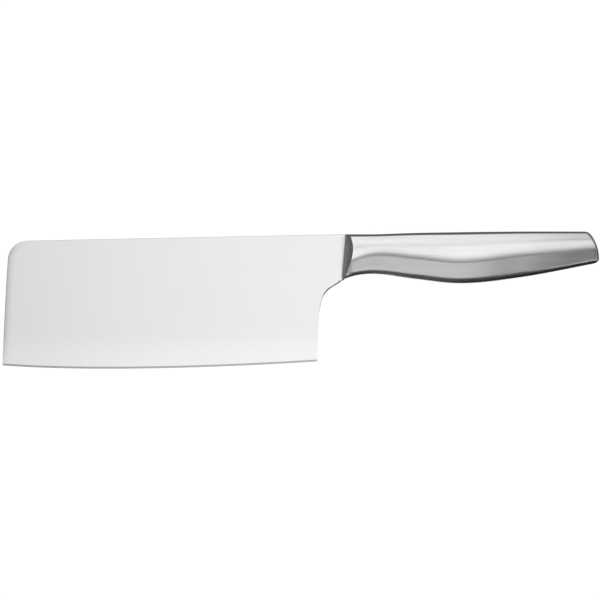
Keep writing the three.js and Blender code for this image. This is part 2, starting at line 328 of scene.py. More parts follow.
# %% [markdown]
# ## The bolster
#
# The bolster is the solid collar between blade and handle. A milling cutter runs across it at a slant,
# which leaves a sloping face on each side of the blade, and the solder leaves a small hollow fillet. A
# boolean cut would leave ragged faces along the rounded side. So the skin has one line for each point of
# the section: along the side to the cut, over a broken edge, down the face and out through the fillet onto
# the blade.

# %% The sloping front of the bolster
blade_half = 1.1
bolster_slope = math.radians(50)
blade_gap = 0.1  # between the blade's shoulders and the bolster
halvings = 24  # enough to find a point to a millionth of a millimetre


def front_at(y, z):
    """Where the slanting cut lies, at a height and a distance from the blade's middle."""
    depth = blade_gap + max(0, z - blade_half) / math.tan(bolster_slope)
    return (depth + y * math.sin(bolster_lean)) / math.cos(bolster_lean)


def side_point(x, i):
    y, z = half_section(x)[i]
    return Vector((x, y, z))


def cut_place(i):
    """Where line i of the section meets the slanting cut."""
    low, high = nose_at, bolster_head
    for _ in range(halvings):
        middle = (low + high) / 2
        point = side_point(middle, i)
        if middle < front_at(point.y, point.z):
            low = middle
        else:
            high = middle
    return low


cuts = [side_point(cut_place(i), i) for i in range(line_count)]
on_face = [i for i in range(line_count) if cuts[i].z > blade_half]
print("lines over the sloping face:", len(on_face), "of", line_count)

# %% Directions on the sloping face
run = [0.0]  # distance along the rim of the cut, for each line
for a, b in zip(cuts, cuts[1:]):
    run.append(run[-1] + (b - a).length)
face_from, face_to = run[on_face[0]], run[on_face[-1]]
forward = Vector((-math.cos(bolster_lean), math.sin(bolster_lean), 0))
outward = forward * math.sin(bolster_slope) + Vector((0, 0, math.cos(bolster_slope)))
print("length of the face's rim in mm:", round(face_to - face_from, 1))

# %% Lines of the bolster, from the seam to the blade
broken_edge = 0.15
face_bulge = 0.06  # how far the ground face bulges, as a share of its length
fillet_reach = (3, 1.4)  # of the solder fillet along the blade, at the top and at the bottom
fillet_rise = math.tan(math.radians(12))  # slope of the fillet where it meets the face
fillet_round = (0.25, 0.9)  # rounding between fillet and face, at the top and at the bottom
fillet_sink = 0.008  # how far its thin end dips into the blade, as a share of its reach
# where a line is short, these shares of side, face and fillet are the most that a rounding takes
edge_of_side, edge_of_face, fillet_of_face, round_of_face, round_of_fillet = 0.4, 0.3, 0.8, 0.25, 0.4


def bolster_line(i):
    """Points of line i: along the side to the cut, down the sloping face and out along the blade."""
    cut = cuts[i]
    share = limited((run[i] - face_from) / (face_to - face_from))
    foot_y = lerp(cuts[on_face[0]].y, cuts[on_face[-1]].y, share)
    foot = Vector((front_at(foot_y, blade_half), foot_y, blade_half)) if i in on_face else cut
    face = foot - cut
    down = face.normalized()
    edge = min(broken_edge, edge_of_side * (bolster_head - cut.x), edge_of_face * face.length)
    side = [side_point(x, i) for x in spread(bolster_head, cut.x + edge, 10)]
    over = bend(side[-1], cut, cut + down * edge, 4)
    fillet = min(lerp(*fillet_reach, share), fillet_of_face * face.length)
    rounding = min(lerp(*fillet_round, share), round_of_face * face.length, round_of_fillet * fillet)
    corner = foot - down * (fillet * fillet_rise / 2 / math.sin(bolster_slope))
    dip = Vector((0, 0, -fillet_sink * fillet))
    blade_end = foot + forward * fillet + dip
    pull = foot + forward * fillet / 2 + dip
    face_end = corner - down * rounding
    bulge = (over[-1] + face_end) / 2 + outward * face_bulge * (face_end - over[-1]).length
    leave = corner + (pull - corner).normalized() * rounding
    pieces = [over, bend(over[-1], bulge, face_end, 8)]
    pieces += [bend(face_end, corner, leave, 6), bend(leave, pull, blade_end, 8)]
    return side + [point for piece in pieces for point in piece[1:]]


# %% A solid length of handle, for spigots
def loft(mesh, places, inset):
    """A solid bar with the handle's section, smaller than the outside by inset."""
    rows = []
    for x in places:
        left, right = [ring_at(x, inset, side, round_steps=4, flat_steps=1) for side in (1, -1)]
        rows.append(left + right[-2:0:-1])
    solid_bar(mesh, rows)


# %% The bolster with its spigot
tang_length = 34
tang_end_wall = 4  # bolster metal behind the tang
spigot_end = tang_length + tang_end_wall
inside_fit = shell_wall + 0.3  # the wall and the clearance inside it


def bolster():
    mesh = bmesh.new()
    left, right = both_sides(mesh, [bolster_line(i) for i in range(line_count)])
    mesh.faces.new([line[0] for line in left + right[-2:0:-1]])
    loft(mesh, spread(bolster_head, spigot_end, 16), inside_fit)
    return finish_piece(mesh, "slanted_bolster", "bolster")


collar = bolster()

# %% [markdown]
# ## The butt cap
#
# The handle ends in a cast cap, cut off along a curve that leans forward at the top, with a rim rounded on
# the polishing wheel. A Bevel modifier would stumble over the many narrow faces there, so each line of the
# section carries its own rounding: back to the curve, over the rim and onto the end, where left and right
# are joined straight across.

# %% The curve of the butt
butt_slant = 5.6
butt_bulge = 6.3
butt_lower_round = 1.5
butt_top = corners_at(handle_length)[0].x
butt_bottom = corners_at(handle_length)[3].x
lower_from = handle_length - butt_lower_round
top_end = Vector((handle_length - butt_slant, butt_top))
low_end = Vector((handle_length, butt_bottom + butt_lower_round))
under_end = Vector((lower_from, corners_at(lower_from)[3].x))
butt_curve = bend(top_end, Vector((handle_length, butt_top - butt_bulge)), low_end, 60)
butt_curve += bend(low_end, Vector((handle_length, butt_bottom)), under_end, 20)
butt_places, butt_heights = zip(*butt_curve[::-1])
print("height of the butt in mm:", round(top_end.y - under_end.y, 2))


def butt_at(y):
    """How far back the butt's curve lies at a height."""
    return read_off(butt_heights, butt_places, limited(y, butt_heights[0], butt_heights[-1]))


# %% Lines of the cap
rim_round = 1.7
rim_of_half = 0.9  # most of the half width that the rim's rounding takes on the sides
side_limit = 0.7  # a line whose inward direction is more sideways than this lies on a side
settling = 12  # rounds until a line's end lies on the curve


def butt_end(i):
    """The point where line i of the section meets the butt's curve."""
    x = handle_length - butt_slant
    for _ in range(settling):
        x = butt_at(half_section(x)[i].x)
    return side_point(x, i)


def cap_line(i):
    """Points of line i: along the cap's side, over the rim and onto the end."""
    end = butt_end(i)
    section = half_section(end.x)
    before, after = section[max(i - 1, 0)], section[min(i + 1, line_count - 1)]
    inward = Vector((-(after - before).y, (after - before).x)).normalized()
    if i in (0, line_count - 1):
        inward = Vector((-1 if i == 0 else 1, 0))
    depth = min(rim_round, rim_of_half * abs(end.z)) if abs(inward.y) > side_limit else rim_round
    stop_y, stop_z = Vector((end.y, end.z)) + inward * depth
    stop = Vector((butt_at(stop_y), stop_y, max(stop_z, 0)))
    side = [side_point(x, i) for x in spread(cap_seam, end.x - rim_round, 14)]
    return side + bend(side[-1], end, stop, 10)[1:]


# %% The stud for the weight
cap_spigot = 6  # how far the cap reaches into the shells
cap_front = cap_seam - cap_spigot
stud_radius = 3.5
stud_length = 12
circle = [(math.cos(a), math.sin(a)) for a in spread(0, 2 * math.pi, 32)[:-1]]


def stud(mesh):
    heights = corners_at(cap_front)
    middle = (heights[0].x + heights[3].x) / 2
    ends = (cap_front - stud_length, cap_front)
    solid_bar(mesh, [[place(x, middle + stud_radius * c, stud_radius * s) for c, s in circle] for x in ends])


# %% The cap with its spigot and stud
def butt_cap():
    mesh = bmesh.new()
    left, right = both_sides(mesh, [cap_line(i) for i in range(line_count)])
    for i in range(line_count - 1):
        mesh.faces.new((left[i][-1], left[i + 1][-1], right[i + 1][-1], right[i][-1]))
    mesh.faces.new([line[0] for line in left + right[-2:0:-1]])
    loft(mesh, spread(cap_front, cap_seam, 4), inside_fit)
    stud(mesh)
    return finish_piece(mesh, "slanted_butt_cap", "butt_cap")


cap = butt_cap()

# %% [markdown]
# ## The blade
#
# The blade is a plate of even thickness, ground thinner towards the edge on both faces, with a narrow bevel
# where it is sharpened. Its outline could be extruded and bevelled, but long thin faces shade unevenly on
# bright steel. So a grid of points covers it: rows follow the edge at the bottom and the spine at the top,
# from the front end to the choil or the bolster. The thickness at a point comes from its height above the
# edge, less the small roundings along the rim.

# %% Edge and spine
blade_length = 180.1
spine_drop = 3.6
front_lean = 3.2
front_drop = 69
heel_drop = 66.9
heel_setback = 14.7
# the edge leaves its front corner and its heel along these lines, which gives it its belly
edge_front_pull = Vector((40, -3.1))
edge_heel_pull = Vector((-60, -3.9))


def bezier(a, b, c, d, steps):
    """A smooth curve from a to d that leaves towards b and arrives from c."""
    points = []
    for t in spread(0, 1, steps):
        s = 1 - t
        points.append(a * s**3 + b * 3 * s * s * t + c * 3 * s * t * t + d * t**3)
    return points


front_foot = Vector((-blade_length, -front_drop))
heel = Vector((-heel_setback, -heel_drop))
edge_curve = bezier(front_foot, front_foot + edge_front_pull, heel + edge_heel_pull, heel, 400)
spine_corner = Vector((front_lean - blade_length, -spine_drop))
edge_places, edge_heights = zip(*edge_curve)


def edge_y(x):
    """Height of the edge, which goes on straight past the heel."""
    return read_off(edge_places, edge_heights, x)


def spine_y(x):
    return x * spine_corner.y / spine_corner.x


edge_length = sum((b - a).length for a, b in zip(edge_curve, edge_curve[1:]))
print("length of the cutting edge in mm:", round(edge_length, 1))

# %% Front end, from the edge over the rounded corner to the spine
tip_radius = 10.4
front_bow = 0.25
front_steps = 80
to_spine = -spine_corner.normalized()
to_foot = (front_foot - spine_corner).normalized()
half_angle = to_spine.angle(to_foot) / 2
arc_middle = spine_corner + (to_spine + to_foot).normalized() * tip_radius / math.sin(half_angle)
arc_start = spine_corner + to_foot * tip_radius / math.tan(half_angle)
arc_stop = spine_corner + to_spine * tip_radius / math.tan(half_angle)
bow = (arc_start + front_foot) / 2 - Vector((2 * front_bow, 0))
turn_from, turn_to = [math.atan2(*(end - arc_middle).yx) % (2 * math.pi) for end in (arc_start, arc_stop)]
turns = spread(turn_from, turn_to, 120)
corner_arc = [arc_middle + Vector((math.cos(a), math.sin(a))) * tip_radius for a in turns]
front_curve = bend(front_foot, bow, arc_start, front_steps) + corner_arc[1:]
print("angle between spine and front in degrees:", round(math.degrees(2 * half_angle), 1))

# %% Rear end, from the heel over the choil to the bolster
heel_straight = 2
choil_rise = Vector((0, 39))  # the choil's curve leaves the heel's straight stretch along this line
choil_pull = Vector((-7.7, -5.8))  # and reaches the bolster's chin from here
choil_steps = 160
chin = Vector((nose_at, -chin_drop))
choil_foot = heel + Vector((0, heel_straight))
choil = bezier(choil_foot, choil_foot + choil_rise, chin + choil_pull, chin, choil_steps)
rear_curve = [heel, *choil, *[lerp(chin, Vector((0, 0)), share) for share in spread(0, 1, 40)[1:]]]
choil_rim = rear_curve[: choil_steps + 1]
print("blade height at the heel in mm:", round(spine_y(heel.x) - heel.y, 2))

# %% Levels of the blade
# A row's level counts millimetres above the edge in the ground part and millimetres below the spine near
# the top, as the top level minus the distance. It shares the height between them evenly.
ground = 15
under_spine = 12
top_level = 100
level_marks = (0, ground, top_level - under_spine, top_level)


def height_marks(x):
    """Heights that belong to the marks of the levels, at a place along the knife."""
    return (edge_y(x), edge_y(x) + ground, spine_y(x) - under_spine, spine_y(x))


print("heights of the marks at the heel:", [round(mark, 1) for mark in height_marks(heel.x)])

# %% Rows of the blade
# Rows and points lie close together where the plate is rounded or bent, and wide apart where it is flat.
bevel_height = 1.1
bevel_seam = 0.03  # the bevel's upper edge turns between two rows this far above and below it
near_spine = (12, 10, 8.5, 7, 5.5, 4.2, 3.2, 2.4, 1.8, 1.3, 0.9, 0.6, 0.4, 0.3, 0.22, 0.15, 0.09, 0.04, 0)
near_rim = [0, 0.04, 0.09, 0.15, 0.22, 0.3, 0.4, 0.55, 0.8, 1.1, 1.5, 2, 2.6, 3.3, 4.1, 5]
levels = [0, 0.25, 0.55, 0.85, bevel_height - bevel_seam, bevel_height + bevel_seam]
levels += [1.3, 1.7, 2.3, *range(3, 12), *spread(12, ground, 6), *spread(17, 86, 30)]
levels += [top_level - below for below in near_spine]
print("rows of the blade:", len(levels))

# %% [markdown]
# The rim of the plate is not knife-sharp. The front end is rolled off over a few millimetres on the belt,
# spine and front lose their corners, and the choil, where a finger rests, is rounded most.

# %% Thickness of the ground faces
shoulder_half = 0.25  # half the thickness where a ground face meets the bevel
edge_half = 0.05
shoulder_blend = 14  # length over which the flat turns into the ground face


def ground_half(above):
    """Half the thickness of the plate at a height above the edge."""
    if above < bevel_height:
        return lerp(edge_half, shoulder_half, above / bevel_height)
    fall = (blade_half - shoulder_half) / (ground - bevel_height)
    if above > ground + shoulder_blend / 2:
        return blade_half
    if above > ground - shoulder_blend / 2:
        return blade_half - fall * (ground + shoulder_blend / 2 - above) ** 2 / (2 * shoulder_blend)
    return blade_half - fall * (ground - above)


print("thickness 5 mm above the edge, in mm:", round(2 * ground_half(5), 2))


# %% Distance from the rim
def quarter_round(distance, radius):
    """How far a rounded edge has dropped at a distance from the rim."""
    if distance >= radius:
        return 0
    return radius - math.sqrt(radius**2 - (radius - distance) ** 2)


def nearest(point, curve):
    """Distance from a point to a curve."""
    found = []
    for a, b in zip(curve, curve[1:]):
        share = (point - a).dot(b - a) / (b - a).length_squared
        found.append((point - lerp(a, b, limited(share))).length)
    return min(found)


# %% Roundings along the rim
plate_round = 0.22
front_zone = 12  # length of the front end in which its rim is looked for
front_roll = 4.5
front_roll_depth = 0.24
front_roll_fade = 5  # below the spine, where the roll runs out
choil_chamfer = 0.55
choil_slope = 1.3
choil_least = 0.1  # share of the chamfer that the lower choil has
choil_from, choil_full = 0.62, 0.8  # shares of the choil's height over which the chamfer grows
choil_before, choil_above = 1, 2  # how far before the heel and above the chin the choil's rim is looked for
least_half = 0.04


def front_drops_at(point, below_spine):
    """How far the front's rounding and its roll take the plate down."""
    far = nearest(point, front_curve)
    fade = eased(min(below_spine / front_roll_fade, 1))
    return quarter_round(far, plate_round), front_roll_depth * fade * max(0, 1 - far / front_roll) ** 3


def choil_drop_at(point):
    """How far the choil's chamfer takes the plate down."""
    height = (point.y - choil_foot.y) / (chin.y - choil_foot.y)
    grown = limited((height - choil_from) / (choil_full - choil_from))
    width = choil_chamfer * lerp(choil_least, 1, grown)
    return choil_slope * max(0, width - nearest(point, choil_rim))


def half_thickness(x, y, level):
    point = Vector((x, y))
    half = ground_half(y - edge_y(x))
    drop = quarter_round(top_level - level, plate_round)
    if x < front_zone - blade_length:
        rounding, roll = front_drops_at(point, top_level - level)
        drop = max(drop, rounding) + roll
    if x > heel.x - choil_before and y < chin.y + choil_above:
        drop = max(drop, choil_drop_at(point))
    return max(half - drop * half / blade_half, least_half)


# %% The grid of the blade
def row_ends(curve):
    """Where the rows of the blade meet the front end or the rear."""
    marks = [read_off(height_marks(point.x), level_marks, point.y) for point in curve]
    places = [point.x for point in curve]
    return [read_off(marks, places, limited(level, marks[0], marks[-1])) for level in levels]


def blade_grid():
    grid = []
    for level, first, last in zip(levels, row_ends(front_curve), row_ends(rear_curve)):
        xs = [first + d for d in near_rim] + spread(first + near_rim[-1], last - near_rim[-1], 60)[1:-1]
        xs += [last - d for d in near_rim[::-1]]
        heights = [read_off(level_marks, height_marks(x), level) for x in xs]
        grid.append([(x, y, half_thickness(x, y, level)) for x, y in zip(xs, heights)])
    return grid


# %% The tang
tang_half = 0.9
tang_cover = 2.4  # bolster metal above and below the tang
tang_root = 1  # the tongue starts this far inside the blade
pin_hole_radius = 2.1
rear_pin_at = tang_length - 7
pin_spacing = 13


def tang(mesh):
    """The flat tongue inside the bolster, with its two pin holes."""
    neck = corners_at(neck_at)
    top = neck[0].x - inside_fit - tang_cover
    bottom = neck[3].x + inside_fit + tang_cover
    middle = (top + bottom) / 2
    loops = [[(-tang_root, bottom), (tang_length, bottom), (tang_length, top), (-tang_root, top)]]
    for x in (rear_pin_at - pin_spacing, rear_pin_at):
        loops.append([(x + pin_hole_radius * c, middle + pin_hole_radius * s) for c, s in circle])
    edges = []
    for loop in loops:
        verts = [mesh.verts.new(place(x, y, -tang_half)) for x, y in loop]
        edges += [mesh.edges.new(pair) for pair in zip(verts, verts[1:] + verts[:1])]
    filled = bmesh.ops.triangle_fill(mesh, edges=edges, use_beauty=True)
    faces = [part for part in filled["geom"] if isinstance(part, bmesh.types.BMFace)]
    raised = bmesh.ops.extrude_face_region(mesh, geom=faces, use_keep_orig=True)
    for part in raised["geom"]:
        if isinstance(part, bmesh.types.BMVert):
            part.co.z += 2 * tang_half / 1000


# %% The blade with its tang
def blade():
    mesh = bmesh.new()
    rims = []
    for rows in both_sides(mesh, blade_grid()):
        rear = [row[-1] for row in rows[1:]]
        front = [row[0] for row in rows[-2:0:-1]]
        rims.append(rows[0] + rear + rows[-1][-2::-1] + front)
    left, right = rims
    for i in range(len(left)):
        j = (i + 1) % len(left)
        mesh.faces.new((left[i], left[j], right[j], right[i]))
    tang(mesh)
    return finish_piece(mesh, "ground_blade", "blade", crisp=28)


plate = blade()

# %% [markdown]
# ## Brushed metal, as shader node groups
#
# All visible steel is brushed: an abrasive belt leaves fine lines in one direction. A picture of scratches
# could show them, but it would have to be fitted round every piece. Noise stretched along the brushing
# needs no fitting and has no seams. As several finishes use it, it is a node group, and each finish sets
# how close and how long its lines are. A second group gives faint traces of handling. A third paints light:
# it lightens a colour towards one end, as a painted highlight near the edge and at the neck.

# %% Helpers for node trees
node_spacing = 200


def add(tree, kind, inputs=None, **properties):
    """Adds a node beside the last one. Each input gets a value, or a link from another node's output."""
    node = tree.nodes.new(kind)
    node.location = (node_spacing * len(tree.nodes), 0)
    for name, value in properties.items():
        setattr(node, name, value)
    for name, value in (inputs or {}).items():
        if isinstance(value, bpy.types.NodeSocket):
            tree.links.new(value, node.inputs[name])
        else:
            node.inputs[name].default_value = value
    return node


def calculated(tree, operation, *terms):
    """The outcome of an operation on values or on other nodes' outputs."""
    return add(tree, "ShaderNodeMath", dict(enumerate(terms)), operation=operation).outputs["Value"]


def place_on(tree):
    """The X, Y and Z of a place on the object."""
    where = add(tree, "ShaderNodeTexCoord").outputs["Object"]
    return add(tree, "ShaderNodeSeparateXYZ", {"Vector": where}).outputs


def bare_material(name):
    """A material without nodes, and its tree."""
    material = bpy.data.materials.new(name)
    material.use_nodes = True
    material.node_tree.nodes.clear()
    return material, material.node_tree


def bare_group(name, inputs, outputs):
    """A node group with its sockets, and what its input node gives."""
    group = bpy.data.node_groups.new(name, "ShaderNodeTree")
    for side, sockets in (("INPUT", inputs), ("OUTPUT", outputs)):
        for socket, kind in sockets.items():
            group.interface.new_socket(socket, in_out=side, socket_type=f"NodeSocket{kind}")
    return group, add(group, "NodeGroupInput").outputs


def shade(grey):
    """A grey as a colour."""
    return (grey, grey, grey, 1)


# %% Node group: brushed lines
def brushed_lines_group():
    masks = {"Lines": "Float", "Bands": "Float"}
    group, given = bare_group("Brushed lines", {"Vector": "Vector", "Closeness": "Vector"}, masks)
    terms = {0: given["Vector"], 1: given["Closeness"]}
    where = add(group, "ShaderNodeVectorMath", terms, operation="MULTIPLY").outputs["Vector"]
    fine = add(group, "ShaderNodeTexNoise", {"Vector": where, "Scale": 1, "Detail": 3, "Roughness": 0.7})
    broad = add(group, "ShaderNodeTexNoise", {"Vector": where, "Scale": 0.12, "Detail": 2})
    add(group, "NodeGroupOutput", {"Lines": fine.outputs[0], "Bands": broad.outputs[0]})
    return group


brushed_lines = brushed_lines_group()
print("node group:", brushed_lines.name)


# %% Node group: traces of handling
def handling_group():
    inputs = {"Vector": "Vector", "Size": "Float"}
    group, given = bare_group("Traces of handling", inputs, {"Traces": "Float"})
    cloud = add(group, "ShaderNodeTexNoise", {"Vector": given["Vector"], "Scale": given["Size"], "Detail": 4})
    limits = {"Value": cloud.outputs[0], "From Min": 0.35, "From Max": 0.7}
    soft = add(group, "ShaderNodeMapRange", limits, interpolation_type="SMOOTHSTEP")
    add(group, "NodeGroupOutput", {"Traces": soft.outputs["Result"]})
    return group


traces = handling_group()
print("node group:", traces.name)


# %% Node group: a painted highlight in places
def painted_highlight_group():
    """Paints light: lightens a colour gradually while a place on the object runs from start to full."""
    limits = {"Place": "Value", "Start": "From Min", "Full": "From Max", "Gain": "To Max"}
    inputs = {"Colour": "Color", **{name: "Float" for name in limits}}
    group, given = bare_group("Painted highlight", inputs, {"Colour": "Color"})
    values = {socket: given[name] for name, socket in limits.items()}
    rise = add(group, "ShaderNodeMapRange", {"To Min": 1, **values}).outputs["Result"]
    scaled = add(group, "ShaderNodeVectorMath", {0: given["Colour"], "Scale": rise}, operation="SCALE")
    add(group, "NodeGroupOutput", {"Colour": scaled.outputs["Vector"]})
    return group


painted_highlight = painted_highlight_group()
print("node group:", painted_highlight.name)

# %% [markdown]
# ## The steel finishes
#
# One function makes a brushed steel from its colour, its roughness and the direction and closeness of its
# lines. The mask moves the colour by a few hundredths only, because clean steel looks even, and the
# roughness a bit more, because that breaks up the reflections. What is the same all over is set on the
# shader's own sockets.

# %% Colour and gloss along the lines
line_roughness = 0.06
trace_roughness = 0.02


def line_colour(tree, mask, grey, uneven):
    """A grey that is lighter and darker by a share along the lines."""
    tone = add(tree, "ShaderNodeMapRange", {"Value": mask, "From Min": 0.6, "From Max": 1.4})
    tints = {"A": shade(grey * (1 - uneven)), "B": shade(grey * (1 + uneven))}
    tints["Factor"] = tone.outputs["Result"]
    return add(tree, "ShaderNodeMix", tints, data_type="RGBA").outputs["Result"]


def line_gloss(tree, mask, marks, roughness):
    """A roughness that changes along the lines and with the traces of handling."""
    gloss = calculated(tree, "MULTIPLY_ADD", mask, line_roughness, roughness - line_roughness)
    return calculated(tree, "MULTIPLY_ADD", marks, trace_roughness, gloss)


def paint_lighter(tree, colour, axis, start, full, gain):
    """Passes a colour through the painted highlight, along an axis of the object."""
    values = {"Colour": colour, "Place": place_on(tree)[axis], "Start": start, "Full": full, "Gain": gain}
    return add(tree, "ShaderNodeGroup", values, node_tree=painted_highlight).outputs["Colour"]


# %% A brushed steel
trace_size = 45
line_depth = 0.0001


def brushed_steel(name, grey, roughness, closeness, turn=0.0, bump=0.02, uneven=0.04, painted_light=None):
    material, tree = bare_material(name)
    where = add(tree, "ShaderNodeTexCoord").outputs["Object"]
    turned = add(tree, "ShaderNodeMapping", {"Vector": where, "Rotation": (0, 0, turn)}).outputs["Vector"]
    brushing = {"Vector": turned, "Closeness": closeness}
    lines = add(tree, "ShaderNodeGroup", brushing, node_tree=brushed_lines).outputs
    marks = add(tree, "ShaderNodeGroup", {"Vector": where, "Size": trace_size}, node_tree=traces).outputs
    mask = calculated(tree, "ADD", lines["Lines"], lines["Bands"])
    colour = line_colour(tree, mask, grey, uneven)
    # painted highlight: the colour gets lighter towards one end, where one is given
    if painted_light:
        colour = paint_lighter(tree, colour, *painted_light)
    gloss = line_gloss(tree, mask, marks["Traces"], roughness)
    relief = add(tree, "ShaderNodeBump", {"Height": lines["Lines"], "Strength": bump, "Distance": line_depth})
    surface = {"Metallic": 1, "Base Color": colour, "Roughness": gloss, "Normal": relief.outputs["Normal"]}
    steel = add(tree, "ShaderNodeBsdfPrincipled", surface)
    add(tree, "ShaderNodeOutputMaterial", {"Surface": steel.outputs["BSDF"]})
    return material


# %% Finishes of the knife
# Painted light: the blade's colour gets lighter towards the edge and the handle's towards the neck, a painted
# highlight where the steel reflects more light.
painted_light_near_edge = ("Y", place(0, -54, 0).y, place(0, -66, 0).y, 1.03)
painted_light_near_neck = ("X", place(32, 0, 0).x, place(8, 0, 0).x, 1.05)
blade_satin = brushed_steel("blade satin", 0.92, 0.12, (2500, 40, 40), uneven=0.012, painted_light=painted_light_near_edge)
bevel_ground = brushed_steel("sharpened bevel", 0.85, 0.2, (6000, 500, 500), bump=0.1, uneven=0.08)
handle_satin = brushed_steel("handle satin", 0.92, 0.16, (40, 2500, 2500), uneven=0.1, painted_light=painted_light_near_neck)
bolster_satin = brushed_steel("bolster satin", 0.82, 0.2, (90, 4000, 4000), turn=0.8, uneven=0.15)
pin_drawn = brushed_steel("drawn pin steel", 0.62, 0.3, (3000, 3000, 60))
weight_cast = brushed_steel("raw cast weight", 0.2, 0.6, (400, 400, 400), bump=0.3, uneven=0.15)


def dress(piece, *materials):
    piece.data.materials.clear()
    for material in materials:
        piece.data.materials.append(material)


dress(plate, blade_satin, bevel_ground)
for piece in [*shells, cap]:
    dress(piece, handle_satin)
dress(collar, handle_satin, bolster_satin)
for node in ("tang_pin_front", "tang_pin_rear"):
    dress(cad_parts[node], pin_drawn)
dress(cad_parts["balance_weight"], weight_cast)
finishes = [blade_satin, bevel_ground, handle_satin, bolster_satin, pin_drawn, weight_cast]
print("finishes:", ", ".join(finish.name for finish in finishes))

# %% [markdown]
# ### Faces with a finish of their own
#
# The sharpening stone leaves coarser lines along the bevel, and the cutter leaves slanting strokes on the
# bolster's front. These faces could be pieces of their own, but on the knife they are one with the steel
# round them. So they only take the second material of their piece.

# %% The sharpened bevel and the sloping face of the bolster
facing_tip = -0.3  # faces whose normal points further towards the tip than this belong to the front
seam_slack = 0.0001


def on_bevel(face):
    x, y, _ = 1000 * (face.center - zero)
    return x < -heel_setback and y - edge_y(x) < bevel_height


def on_slant(face):
    return face.normal.x < facing_tip and face.center.x < shell_low.x - seam_slack


for piece, belongs in ((plate, on_bevel), (collar, on_slant)):
    chosen = [face for face in piece.data.polygons if belongs(face)]
    for face in chosen:
        face.material_index = 1
    print(f"{piece.name}: {len(chosen)} faces with a finish of their own")

# %% [markdown]
# ## The studio
#
# Bright metal shows what stands round it, so cutlery is photographed in a tent of white cloth, with dark
# cards where a dark line is wanted. Lamps could light the knife, but they would only show as spots in it.
# The world is white. The floor is pale, and tilted by a hair, because the knife really rests on the belly
# of its handle and on its tip. It glows for the camera and for reflections, so that it looks white without
# more light on the knife, and the rest is plain paint, which keeps the soft shadow.

# %% Rays that see the white background
scene = bpy.context.scene
scene.view_settings.view_transform = "Standard"


def background_share(tree):
    """1 for rays that should see the white background: camera, gloss and glass."""
    path = add(tree, "ShaderNodeLightPath").outputs
    seen = calculated(tree, "MAXIMUM", path["Is Camera Ray"], path["Is Glossy Ray"])
    return calculated(tree, "MAXIMUM", seen, path["Is Transmission Ray"])


# %% World
daylight = 0.8  # strength of the world for everything but the background
world = bpy.data.worlds.new("white studio")
scene.world = world
world.use_nodes = True
sky = world.node_tree
sky.nodes.clear()
light, seen_white = [
    add(sky, "ShaderNodeBackground", {"Color": shade(1), "Strength": strength}).outputs["Background"]
    for strength in (daylight, 1)
]
pick = add(sky, "ShaderNodeMixShader", {"Fac": background_share(sky), 1: light, 2: seen_white})
add(sky, "ShaderNodeOutputWorld", {"Surface": pick.outputs["Shader"]})
print("world:", world.name)

# %% Paint of the floor
paint_share = 0.2  # how white the paint is, the rest is glow
extra_glow = 0.04  # keeps the open floor white beside the knife's shadow
full_glow = 1 - paint_share * daylight + extra_glow
floor_paint, paint = bare_material("pale floor")
matt = add(paint, "ShaderNodeBsdfDiffuse", {"Color": shade(paint_share)})
glow_strength = calculated(paint, "MULTIPLY", background_share(paint), full_glow)
glow = add(paint, "ShaderNodeEmission", {"Strength": glow_strength})
both_parts = add(paint, "ShaderNodeAddShader", {0: matt.outputs["BSDF"], 1: glow.outputs["Emission"]})
add(paint, "ShaderNodeOutputMaterial", {"Surface": both_parts.outputs["Shader"]})
print("glow of the floor:", round(full_glow, 2))

# %% The floor under the belly and the tip
belly_x = place(belly_at, 0, 0).x
tip_x = place(-blade_length, 0, 0).x
tip_z = place(0, 0, -blade_half).z
tilt = tip_z / (belly_x - tip_x)
floor_gap = 0.0001
floor_reach = 3


def stage_mesh(name, points, faces, material):
    """A piece of the studio, which isn't part of the knife."""
    data = bpy.data.meshes.new(name)
    data.from_pydata(points, [], faces)
    data.materials.append(material)
    piece = bpy.data.objects.new(name, data)
    scene.collection.objects.link(piece)
    return piece


def on_floor(x, y, above=0):
    """A point over the tilted floor, which passes under the handle's belly and the blade's tip."""
    return (x, y, (belly_x - x) * tilt - floor_gap + above)


around = [(-1, -1), (1, -1), (1, 1), (-1, 1)]
floor_points = [on_floor(floor_reach * x, floor_reach * y) for x, y in around]
stage_mesh("pale_floor", floor_points, [(0, 1, 2, 3)], floor_paint)
print("floor tilt in degrees:", round(math.degrees(math.atan(tilt)), 2))

# %% [markdown]
# ### The light tent
#
# The tent is a half tube of cloth over the knife, sewn from panels. The back panel hangs on the spine's
# side. The roof is brightest beside its ridge, which lifts the ground faces of the blade off the flat ones.
# A dark strip beside the roof draws the crease of the handle and the bevel of the edge. The front panel
# hangs on the edge's side and gets darker towards the butt. Below its foot, a bright hem gives the light
# line along the bottom of the butt, and a dark flag before both draws the line along the belly. A panorama
# picture could stand in for all this, but cloth can be cut until each line is right. The greys are given
# round the tent, in degrees from overhead, and along it, in metres. The tent shows in reflections only.

# %% Cloth of the tent
def grey_ramp(tree, value, stops):
    """A grey that changes with a value, through stops given in the value's own units."""
    low, high = stops[0][0], stops[-1][0]
    share = add(tree, "ShaderNodeMapRange", {"Value": value, "From Min": low, "From Max": high})
    ramp = add(tree, "ShaderNodeValToRGB", {"Fac": share.outputs["Result"]})
    elements = ramp.color_ramp.elements
    for i, (at, grey) in enumerate(stops):
        between = 0 < i < len(stops) - 1
        element = elements.new((at - low) / (high - low)) if between else elements[0 if i == 0 else -1]
        element.color = shade(grey)
    return ramp.outputs["Color"]


def shine(tree, colour):
    """Lets a material shine in a colour, or in what another node gives."""
    glow = add(tree, "ShaderNodeEmission", {"Color": colour})
    add(tree, "ShaderNodeOutputMaterial", {"Surface": glow.outputs["Emission"]})


